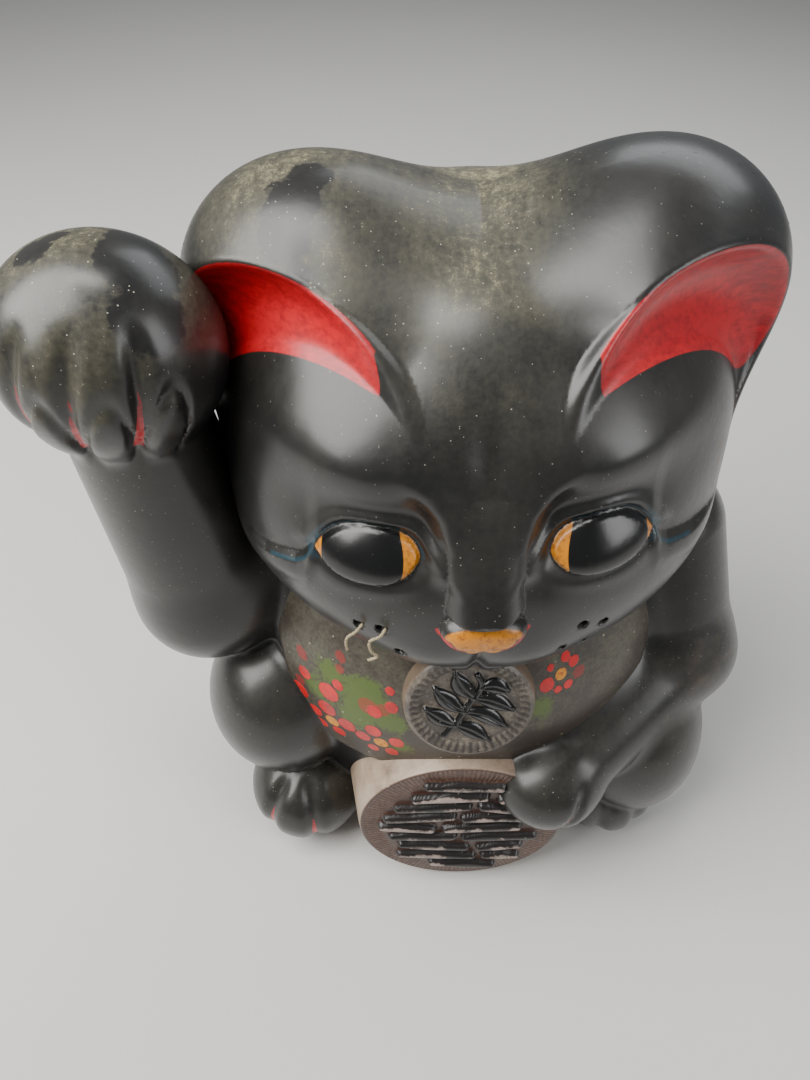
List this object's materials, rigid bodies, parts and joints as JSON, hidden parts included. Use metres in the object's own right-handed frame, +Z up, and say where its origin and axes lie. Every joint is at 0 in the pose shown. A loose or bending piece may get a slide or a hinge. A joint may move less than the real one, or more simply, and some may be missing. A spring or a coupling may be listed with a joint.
{
  "type": "beckoning cat figurine",
  "caption": "Black fired-clay beckoning cat coin bank with one paw raised, the other on an oval coin, hollow with a slot in the head and a stopper in the base.",
  "frame": {"origin": "on the ground under the middle of the torso, on the cat's plane of symmetry", "axes": "+Z up, -Y the way the cat faces, -X towards the raised paw"},
  "size_m": [0.3326, 0.2414, 0.357],
  "materials": {
    "black_glaze": "satin black paint over fired clay, dusty on top",
    "bare_clay": "unpainted fired clay",
    "coin_brown": "brown relief with rubbed bars",
    "bib_paint": "mottled olive brown with painted blossoms",
    "medallion_clay": "grey brown with a black raised ornament",
    "stopper_rubber": "matt",
    "thread": "undyed thread"
  },
  "bodies": {
    "figure": {"head_front_shell": "black_glaze", "head_back_shell": "black_glaze", "body_front_shell": "black_glaze", "body_back_shell": "black_glaze", "base_slab": "bare_clay", "right_ear": "black_glaze", "left_ear": "black_glaze", "raised_upper_arm": "black_glaze", "raised_forearm": "black_glaze", "raised_paw": "black_glaze", "lowered_upper_arm": "black_glaze", "lowered_forearm": "black_glaze", "lowered_paw": "black_glaze", "right_haunch": "black_glaze", "right_foot": "black_glaze", "left_haunch": "black_glaze", "left_foot": "black_glaze", "tail": "black_glaze", "coin": "coin_brown", "bib": "bib_paint", "medallion": "medallion_clay", "whisker_thread_1": "thread", "whisker_thread_2": "thread"},
    "stopper": {"base_plug": "stopper_rubber"}
  },
  "joints": [
    {"name": "stopper_pull", "type": "slide", "parent": "figure", "child": "stopper", "axis": [0, 0, -1], "range_m": [0, 0.02]}
  ]
}
